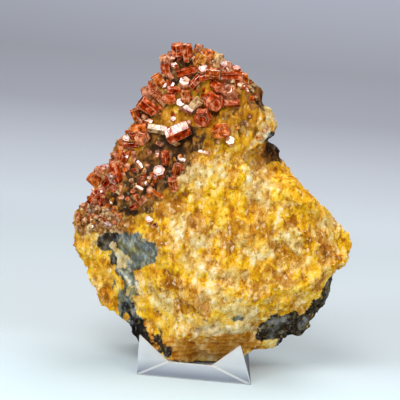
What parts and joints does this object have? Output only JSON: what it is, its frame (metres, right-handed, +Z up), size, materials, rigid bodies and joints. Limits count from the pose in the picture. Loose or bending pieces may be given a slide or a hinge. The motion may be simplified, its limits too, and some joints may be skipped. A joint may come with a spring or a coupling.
{
  "type": "vanadinite crystals on matrix",
  "caption": "Red hexagonal vanadinite crystals on a fractured, limonite-crusted rock that stands upright in a small clear horned display stand.",
  "frame": {"origin": "on the floor, at the middle of the whole object's footprint box", "axes": "+Z up, the specimen's height; the crystal-bearing face looks along -Y, and Y is its thickness; +X to the right seen from the front"},
  "size_m": [0.0684, 0.0292, 0.0799],
  "materials": {
    "matrix_rock": "matte",
    "vanadinite": "gloss",
    "stand_plastic": "satin"
  },
  "bodies": {
    "root": {"matrix": "matrix_rock", "display_stand": "stand_plastic", "vanadinite_01": "vanadinite", "vanadinite_02": "vanadinite", "vanadinite_03": "vanadinite", "vanadinite_04": "vanadinite", "vanadinite_05": "vanadinite", "vanadinite_06": "vanadinite", "vanadinite_07": "vanadinite", "vanadinite_08": "vanadinite", "vanadinite_09": "vanadinite", "vanadinite_10": "vanadinite", "vanadinite_11": "vanadinite", "vanadinite_12": "vanadinite", "vanadinite_13": "vanadinite", "vanadinite_14": "vanadinite", "vanadinite_15": "vanadinite", "vanadinite_16": "vanadinite", "vanadinite_17": "vanadinite", "vanadinite_18": "vanadinite", "vanadinite_19": "vanadinite", "vanadinite_20": "vanadinite", "vanadinite_21": "vanadinite", "vanadinite_22": "vanadinite", "vanadinite_23": "vanadinite", "vanadinite_24": "vanadinite", "vanadinite_25": "vanadinite", "vanadinite_26": "vanadinite", "vanadinite_27": "vanadinite", "vanadinite_28": "vanadinite", "vanadinite_29": "vanadinite", "vanadinite_30": "vanadinite", "vanadinite_31": "vanadinite"}
  },
  "joints": []
}
